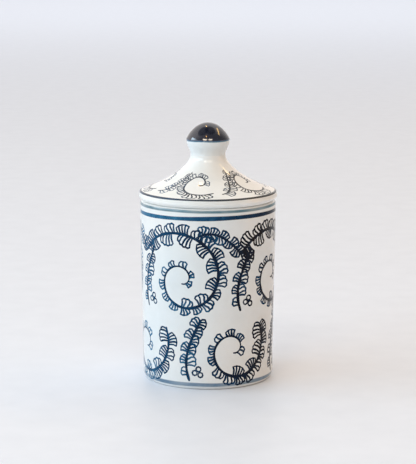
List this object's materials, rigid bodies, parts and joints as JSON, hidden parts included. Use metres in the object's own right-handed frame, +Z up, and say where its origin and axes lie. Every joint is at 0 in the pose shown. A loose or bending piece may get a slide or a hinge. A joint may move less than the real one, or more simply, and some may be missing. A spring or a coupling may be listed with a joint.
{
  "type": "lidded porcelain spice jar",
  "caption": "Cylindrical glazed porcelain spice jar with a flared lift-off lid, a locating collar under it and a domed knob.",
  "frame": {"origin": "centre of the foot, on the surface that the jar stands on", "axes": "+Z up along the jar's own axis, -Y towards the side that faces the viewer"},
  "size_m": [0.0716, 0.0716, 0.1334],
  "materials": {
    "porcelain_jar": "glossy clear glaze over white porcelain with a transfer-printed cobalt scroll",
    "porcelain_lid": "glossy clear glaze over white porcelain with a transfer-printed cobalt scroll",
    "porcelain_collar": "thin clear glaze with a bare, matt bottom edge",
    "cobalt_knob": "deep glossy cobalt glaze on the dome, clear glaze on the stem"
  },
  "bodies": {
    "jar": {"jar_body": "porcelain_jar"},
    "lid": {"lid_cover": "porcelain_lid", "lid_collar": "porcelain_collar", "lid_knob": "cobalt_knob"}
  },
  "joints": [
    {"name": "lid_lift", "type": "slide", "parent": "jar", "child": "lid", "axis": [0, 0, 1], "range_m": [0, 0.06]}
  ]
}
